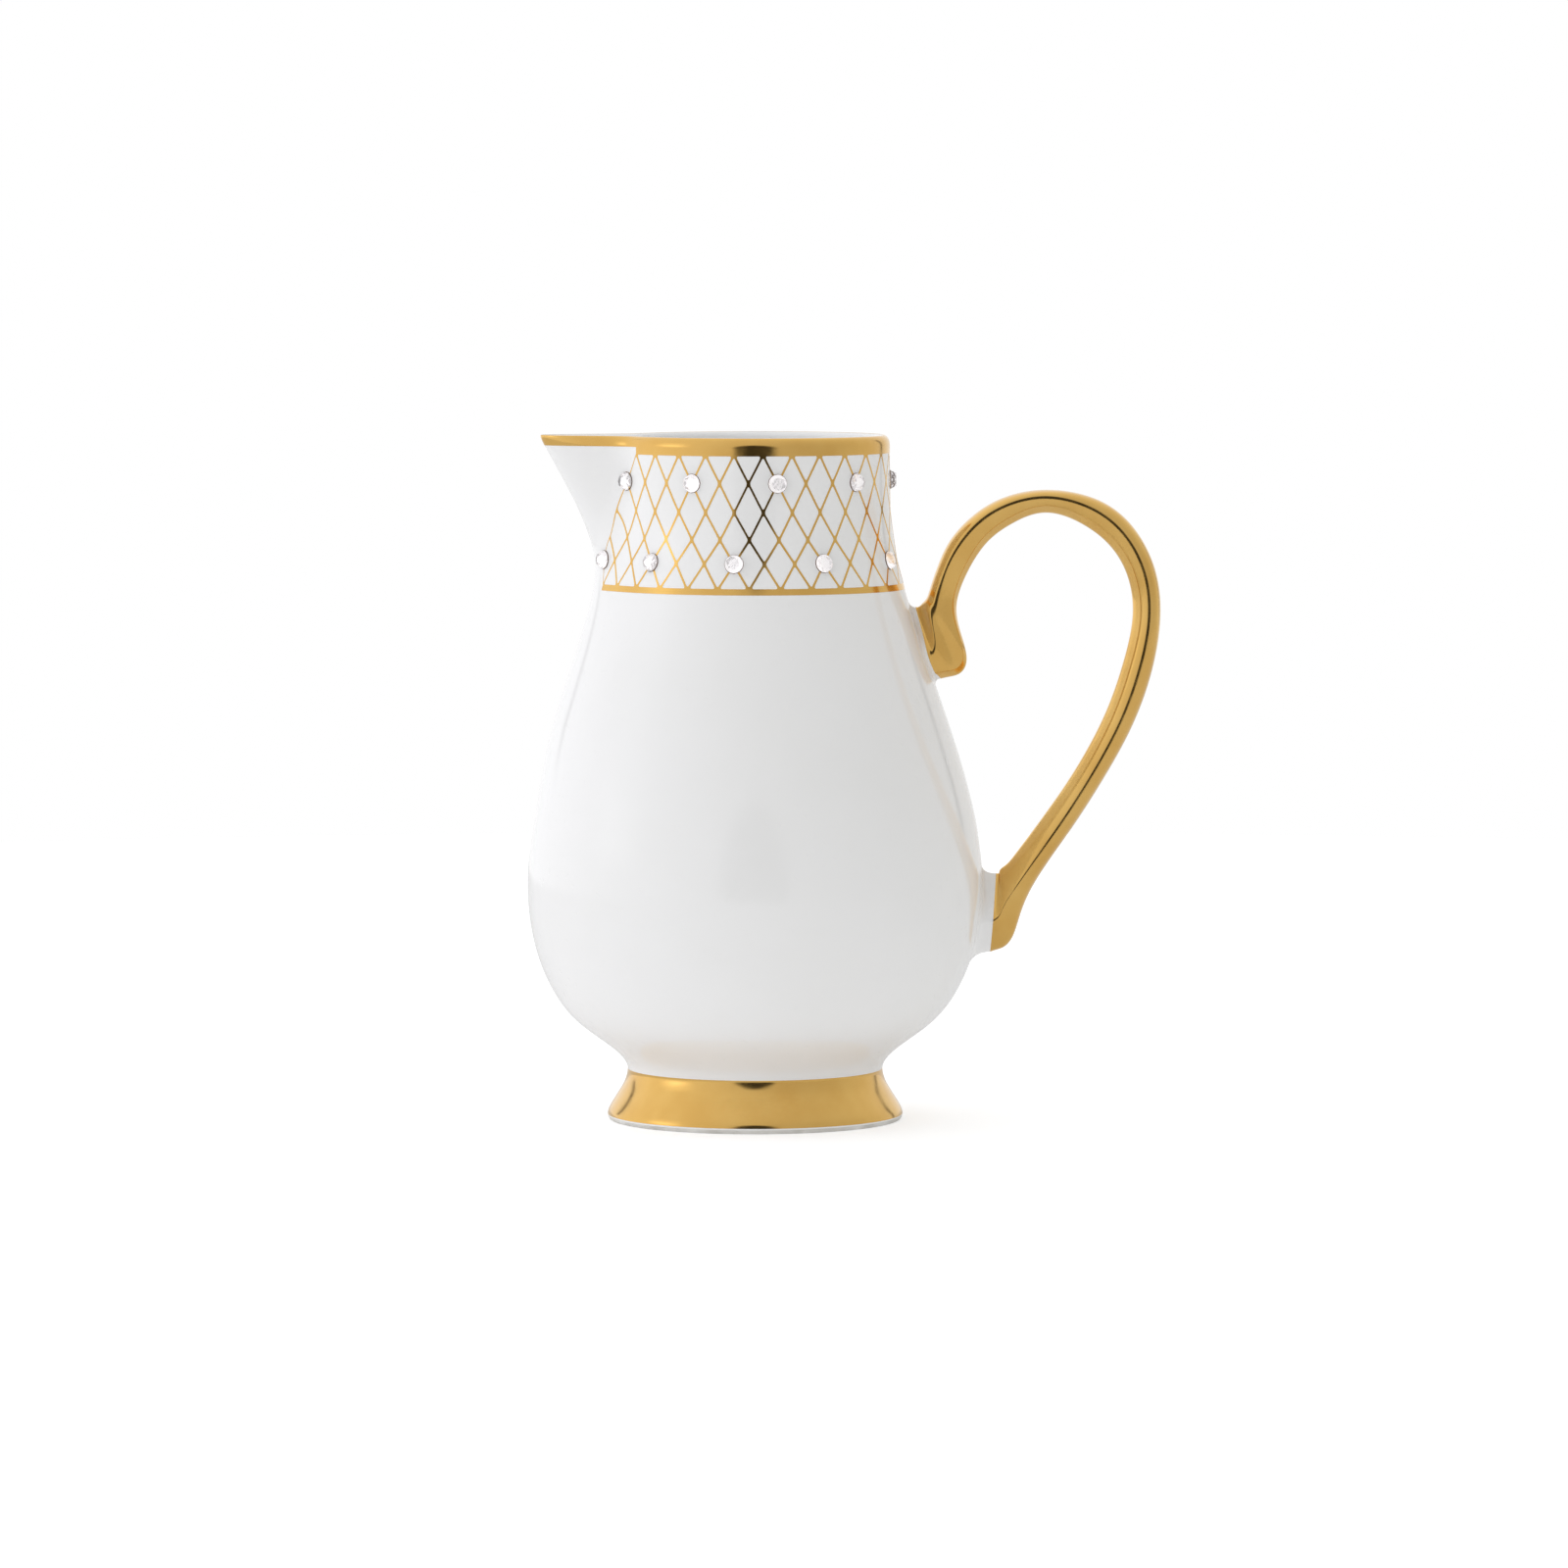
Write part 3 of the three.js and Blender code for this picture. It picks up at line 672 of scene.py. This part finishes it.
def rib_point(place, k):
    """Point k of the section at each place along the ribs."""
    outer, inward, controls = rib_section(place)
    first, t = divmod(k / SECTION_STEPS, 1)
    weights = (1 - t) ** 3, 3 * t**3 - 6 * t**2 + 4, -3 * t**3 + 3 * t**2 + 3 * t + 1, t**3
    near = [controls[(int(first) + i) % SECTION_CONTROLS] for i in (-1, 0, 1, 2)]
    along = sum(w * a for w, (a, _) in zip(weights, near)) / 6
    aside = sum(w * b for w, (_, b) in zip(weights, near)) / 6
    return outer + inward * along[..., None] - np.array([0, 1, 0]) * aside[..., None]


def root_curve(ring, reaches):
    """For each point of a ring at the handle's root: where it meets the body, and where its fillet
    ends on the body. The reaches are the fillet's, in mm, at the outer, side and inner edges."""
    centre = ring.mean(0)
    azimuth = np.degrees(np.arctan2(-ring[:, 1], -ring[:, 0]))
    foot = outer_point(azimuth, ring[:, 2])
    normal = outer_normal(azimuth, ring[:, 2])
    away = ring - centre
    away -= normal * np.sum(away * normal, 1, keepdims=True)
    away /= np.linalg.norm(away, axis=1, keepdims=True)
    aside = away[:, 1:2] ** 2
    round_share = np.arange(len(ring)) / len(ring)
    inner_side = (round_share > 0.25) & (round_share < 0.75)
    edge_reach = np.where(inner_side, reaches[2], reaches[0])[:, None]
    end = foot + away * (aside * reaches[1] + (1 - aside) * edge_reach)
    azimuth = np.degrees(np.arctan2(-end[:, 1], -end[:, 0]))
    return foot, outer_point(azimuth, end[:, 2]) - outer_normal(azimuth, end[:, 2]) * ROOT_SINK


def handle_grid(places):
    """Points of the handle's surface for rows of places, one column for each point of the section.
    Between an end rib and its neighbour the surface is a fillet down to the body."""
    columns = range(SECTION_POINTS)
    firm = np.clip(places, GILT_FIRST, GILT_LAST)
    points = np.stack([rib_point(firm[:, k], k) for k in columns], 1)
    upper = (GILT_FIRST, UPPER_REACHES, GILT_FIRST - places)
    lower = (GILT_LAST, LOWER_REACHES, places - GILT_LAST)
    for rib, reaches, beyond in (upper, lower):
        ring = np.stack([rib_point(np.array(float(rib)), k) for k in columns])
        foot, end = root_curve(ring, reaches)
        t = np.clip(beyond, 0, 1)[..., None]
        curve = ring * (1 - t) ** 2 + foot * 2 * t * (1 - t) + end * t**2
        points = np.where(t > 0, curve, points)
    return points


def grid_normals(points):
    """Normals of a grid whose columns close on themselves."""
    across = np.roll(points, -1, axis=1) - np.roll(points, 1, axis=1)
    normal = np.cross(across, np.gradient(points, axis=0))
    return normal / np.linalg.norm(normal, axis=-1, keepdims=True)


def build_handle():
    fillet = np.linspace(0, 1, FILLET_STEPS + 1)
    ribs = np.linspace(GILT_FIRST, GILT_LAST, (GILT_LAST - GILT_FIRST) * RIB_STEPS + 1)
    places = np.concatenate([fillet, ribs[1:-1], GILT_LAST + fillet])
    rings = handle_grid(np.repeat(places[:, None], SECTION_POINTS, 1))
    into_wall = np.array([-ROOT_DEPTH, 0, 0])
    rings = np.concatenate([rings[:1] + into_wall, rings, rings[-1:] + into_wall])
    points, faces = loft(rings[0].mean(0), rings, rings[-1].mean(0))
    make_piece("porcelain_handle", points, faces, ["handle"], [GLAZE], 60)

    side = np.sin(np.arange(SECTION_POINTS) / SECTION_POINTS * 2 * math.pi) ** 2
    start = GILT_FIRST - GILT_BOW * side
    share = np.linspace(0, 1, len(ribs) + GILT_EXTRA_ROWS)[:, None]
    gilt = handle_grid(start + (GILT_LAST - start) * share)
    normal = grid_normals(gilt)
    net = grid_faces(len(gilt), SECTION_POINTS, True)

    def place(height):
        return (gilt + normal * height).reshape(-1, 3)

    points, shell = thin_shell(gilt.size // 3, net, place, GOLD_LOW, GOLD_HIGH)
    make_piece("handle_gold", points, shell, ["handle_gilding"], [GOLD], 50)


build_handle()

# ---------------------------------------------------------------- crystals

STONE_MAIN_FACETS = 8
MIDDLE_RADIUS_SHARE = 0.84
MIDDLE_HEIGHT_SHARE = 0.66
TABLE_RADIUS_SHARE = 0.66


def stone_shape():
    """A flat-backed stone: table, star and main facets, and a sloping lacquered edge. Points, faces,
    and each face's material: 0 glass, 1 foil, 2 lacquer."""
    n = STONE_MAIN_FACETS
    turns = np.arange(2 * n) / (2 * n) * 2 * math.pi

    def ring(radius, z, which):
        return [(radius * math.cos(a), radius * math.sin(a), z) for a in which]

    back = ring(STONE_RADIUS, 0, turns)
    girdle = ring(STONE_RADIUS - STONE_LINE, STONE_GIRDLE, turns)
    middle_height = STONE_HEIGHT * MIDDLE_HEIGHT_SHARE
    middle = ring(STONE_RADIUS * MIDDLE_RADIUS_SHARE, middle_height, turns[1::2])
    table = ring(STONE_RADIUS * TABLE_RADIUS_SHARE, STONE_HEIGHT, turns[::2])
    points = np.array(back + girdle + middle + table)
    faces = [tuple(reversed(range(2 * n)))]
    g, m, t = 2 * n, 4 * n, 5 * n
    for i in range(2 * n):
        k = (i + 1) % (2 * n)
        faces.append((i, k, g + k, g + i))
    for i in range(n):
        k = (i + 1) % n
        faces.append((g + 2 * i, g + 2 * i + 1, m + i))
        faces.append((g + 2 * i + 1, g + 2 * k, m + i))
        faces.append((g + 2 * k, m + k, t + k, m + i))
        faces.append((t + i, m + i, t + k))
    faces.append(tuple(t + i for i in range(n)))
    return points, faces, [1] + [2] * (2 * n) + [0] * (len(faces) - 2 * n - 1)


def build_stones():
    shape, faces, surfaces = stone_shape()
    for node_name, row, count in STONE_ROWS:
        level = ROW_LEVELS[row]
        for i in range(count):
            column = ROW_FIRST_COLUMNS[row] + STONE_EVERY * i
            azimuth = float(column_azimuth(column, level))
            normal = Vector(outer_normal(azimuth, level))
            turn = normal.to_track_quat("Z", "Y").to_matrix()
            spot = raised_point(azimuth, level, STONE_STANDOFF)
            points = shape @ np.array(turn).T + spot
            node = f"{node_name}_{i + 1:02d}"
            name = node.replace("crystal", "stone")
            make_piece(name, points, faces, [node], [GLASS, FOIL_PAINTED_GLOW, LACQUER], None, surfaces)


build_stones()

# ---------------------------------------------------------------- camera


def build_camera():
    camera = bpy.data.cameras.new("camera")
    camera.sensor_width = SENSOR_WIDTH
    reach = CAMERA_DISTANCE / math.cos(math.radians(CAMERA_PITCH))
    camera.lens = SENSOR_WIDTH * reach / FRAME_WIDTH
    camera.clip_end = 20
    holder = bpy.data.objects.new("camera", camera)
    bpy.context.scene.collection.objects.link(holder)
    holder.location = Vector(put((CAMERA_ASIDE, -CAMERA_DISTANCE, CAMERA_HEIGHT)))
    holder.rotation_euler = (math.radians(90 - CAMERA_PITCH), 0, 0)
    bpy.context.scene.camera = holder


build_camera()

# ---------------------------------------------------------------- floor and light

FLOOR_RADIUS = 0.6
FLOOR_SIDES = 96
FLOOR_GLOW_SEEN = 0.4
FLOOR_GLOW_DIFFUSE = 0.24


class Sums:
    """Builds a sum out of math nodes. Its values are sockets or numbers."""

    def __init__(self, tree):
        self.nodes, self.links = tree.nodes, tree.links

    def feed(self, socket, value):
        if isinstance(value, bpy.types.NodeSocket):
            self.links.new(value, socket)
        else:
            socket.default_value = value

    def math(self, operation, *values):
        node = self.nodes.new("ShaderNodeMath")
        node.operation = operation
        for socket, value in zip(node.inputs, values):
            self.feed(socket, value)
        return node.outputs[0]

    def step(self, value, start, stop):
        """0 before start, 1 after stop, smooth between."""
        node = self.nodes.new("ShaderNodeMapRange")
        node.interpolation_type = "SMOOTHSTEP"
        for name, given in (("Value", value), ("From Min", start), ("From Max", stop)):
            self.feed(node.inputs[name], given)
        return node.outputs["Result"]

    def band(self, value, low, high, softness):
        """1 between low and high, fading to 0 over softness on either side."""
        rise = self.step(value, low - softness / 2, low + softness / 2)
        fall = self.step(value, high + softness / 2, high - softness / 2)
        return self.math("MULTIPLY", rise, fall)

    def towards(self, value, target, share):
        """value, moved to target by share."""
        return self.math("MULTIPLY_ADD", self.math("SUBTRACT", target, value), share, value)


def build_floor():
    """A round white table. The camera and the porcelain see it brighter than the gold does, so it
    melts into the white behind it and lights the jug well from below."""
    turns = np.arange(FLOOR_SIDES) / FLOOR_SIDES * 2 * math.pi
    mesh = bpy.data.meshes.new("floor")
    rim = [(FLOOR_RADIUS * math.cos(a), FLOOR_RADIUS * math.sin(a), 0) for a in turns]
    mesh.from_pydata(rim, [], [range(FLOOR_SIDES)])
    floor = bpy.data.objects.new("floor", mesh)
    bpy.context.scene.collection.objects.link(floor)
    material, nodes, links, inputs = new_material("pale_floor")
    inputs["Base Color"].default_value = (0.8, 0.8, 0.8, 1)
    inputs["Roughness"].default_value = 0.9
    inputs["Emission Color"].default_value = (1, 1, 1, 1)
    ray = nodes.new("ShaderNodeLightPath").outputs
    sums = Sums(material.node_tree)
    glow = sums.math("MULTIPLY", ray["Is Diffuse Ray"], FLOOR_GLOW_DIFFUSE)
    glow = sums.math("MULTIPLY_ADD", ray["Is Camera Ray"], FLOOR_GLOW_SEEN, glow)
    links.new(glow, inputs["Emission Strength"])
    mesh.materials.append(material)


build_floor()


# Light by direction: azimuths in degrees from the camera's side, positive to its right.
# Each room is its mean light, what it gains towards the back and what it gains towards the left.
ROOM_FOR_GLOSS = (0.83, 0.15, 0.17)
ROOM_FOR_DIFFUSE = (0.91, 0.08, 0.35)
WARMTH_TO_RIGHT = 0.025
# A band is (low, high, softness), in degrees.
SOFTBOX_AZIMUTHS = (-89.0, -65.0, 20.0)
SOFTBOX_ELEVATIONS = (6.0, 16.0, 9.0)
SOFTBOX_LIGHT = 0.45
STREAK_ELEVATIONS = (10.0, 28.0, 14.0)
STREAK_LIGHT = 0.2
# The gap is an ellipse. It fades in between these squared distances, in its half axes.
GAP_HALF_WIDTH = 17.0
GAP_HALF_HEIGHT = 21.0
GAP_ELEVATION = 4.0
GAP_FADE = (1.4, 0.65)
GAP_LIGHT = 0.05
# The flags stand on both sides. The lean sets the right one about 5 degrees lower than these
# elevations, and the left one as much higher.
FLAG_AZIMUTHS = (136.0, 140.0, 4.0)
FLAG_ELEVATIONS = (0.0, 25.0, 6.0)
FLAG_LEAN = 8.0
FLAG_LIGHT = 0.1


def build_world():
    """A white room round the jug: brighter on the left and behind, with a softbox on the left, a
    dark gap where the camera stands and two narrow dark flags behind. Matt surfaces get a steeper
    fall of light across the room than shiny ones mirror, and the camera itself sees plain white."""
    world = bpy.data.worlds.new("studio")
    bpy.context.scene.world = world
    world.use_nodes = True
    tree = world.node_tree
    nodes, links = tree.nodes, tree.links
    nodes.clear()
    sums = Sums(tree)
    split = nodes.new("ShaderNodeSeparateXYZ")
    links.new(nodes.new("ShaderNodeTexCoord").outputs["Generated"], split.inputs["Vector"])
    right, back, up = split.outputs
    front = sums.math("MULTIPLY", back, -1)
    azimuth = sums.math("DEGREES", sums.math("ARCTAN2", right, front))
    elevation = sums.math("DEGREES", sums.math("ARCSINE", up))
    rooms = []
    for mean, to_back, to_left in (ROOM_FOR_GLOSS, ROOM_FOR_DIFFUSE):
        room = sums.math("MULTIPLY_ADD", back, to_back, mean)
        rooms.append(sums.math("MULTIPLY_ADD", right, -to_left, room))
    ray = nodes.new("ShaderNodeLightPath").outputs
    light = sums.towards(rooms[0], rooms[1], ray["Is Diffuse Ray"])
    tall = sums.band(azimuth, *SOFTBOX_AZIMUTHS)
    softbox = sums.math("MULTIPLY", tall, sums.band(elevation, *SOFTBOX_ELEVATIONS))
    streak = sums.math("MULTIPLY", tall, sums.band(elevation, *STREAK_ELEVATIONS))
    light = sums.math("MULTIPLY_ADD", softbox, SOFTBOX_LIGHT, light)
    light = sums.math("MULTIPLY_ADD", streak, STREAK_LIGHT, light)
    across = sums.math("POWER", sums.math("DIVIDE", azimuth, GAP_HALF_WIDTH), 2)
    above = sums.math("DIVIDE", sums.math("SUBTRACT", elevation, GAP_ELEVATION), GAP_HALF_HEIGHT)
    gap = sums.step(sums.math("MULTIPLY_ADD", above, above, across), *GAP_FADE)
    aside = sums.math("ABSOLUTE", azimuth)
    leaning = sums.math("MULTIPLY_ADD", right, FLAG_LEAN, elevation)
    upright = sums.band(aside, *FLAG_AZIMUTHS)
    flags = sums.math("MULTIPLY", upright, sums.band(leaning, *FLAG_ELEVATIONS))
    light = sums.towards(light, GAP_LIGHT, gap)
    light = sums.towards(light, FLAG_LIGHT, flags)
    tint = nodes.new("ShaderNodeCombineColor")
    links.new(light, tint.inputs["Red"])
    links.new(light, tint.inputs["Green"])
    cool = sums.math("MULTIPLY_ADD", right, -WARMTH_TO_RIGHT, 1)
    links.new(sums.math("MULTIPLY", light, cool), tint.inputs["Blue"])
    lit = nodes.new("ShaderNodeBackground")
    seen = nodes.new("ShaderNodeBackground")
    mix = nodes.new("ShaderNodeMixShader")
    output = nodes.new("ShaderNodeOutputWorld")
    links.new(tint.outputs["Color"], lit.inputs["Color"])
    seen.inputs["Color"].default_value = (1, 1, 1, 1)
    links.new(ray["Is Camera Ray"], mix.inputs["Fac"])
    links.new(lit.outputs["Background"], mix.inputs[1])
    links.new(seen.outputs["Background"], mix.inputs[2])
    links.new(mix.outputs["Shader"], output.inputs["Surface"])


build_world()
bpy.context.scene.view_settings.view_transform = "Standard"
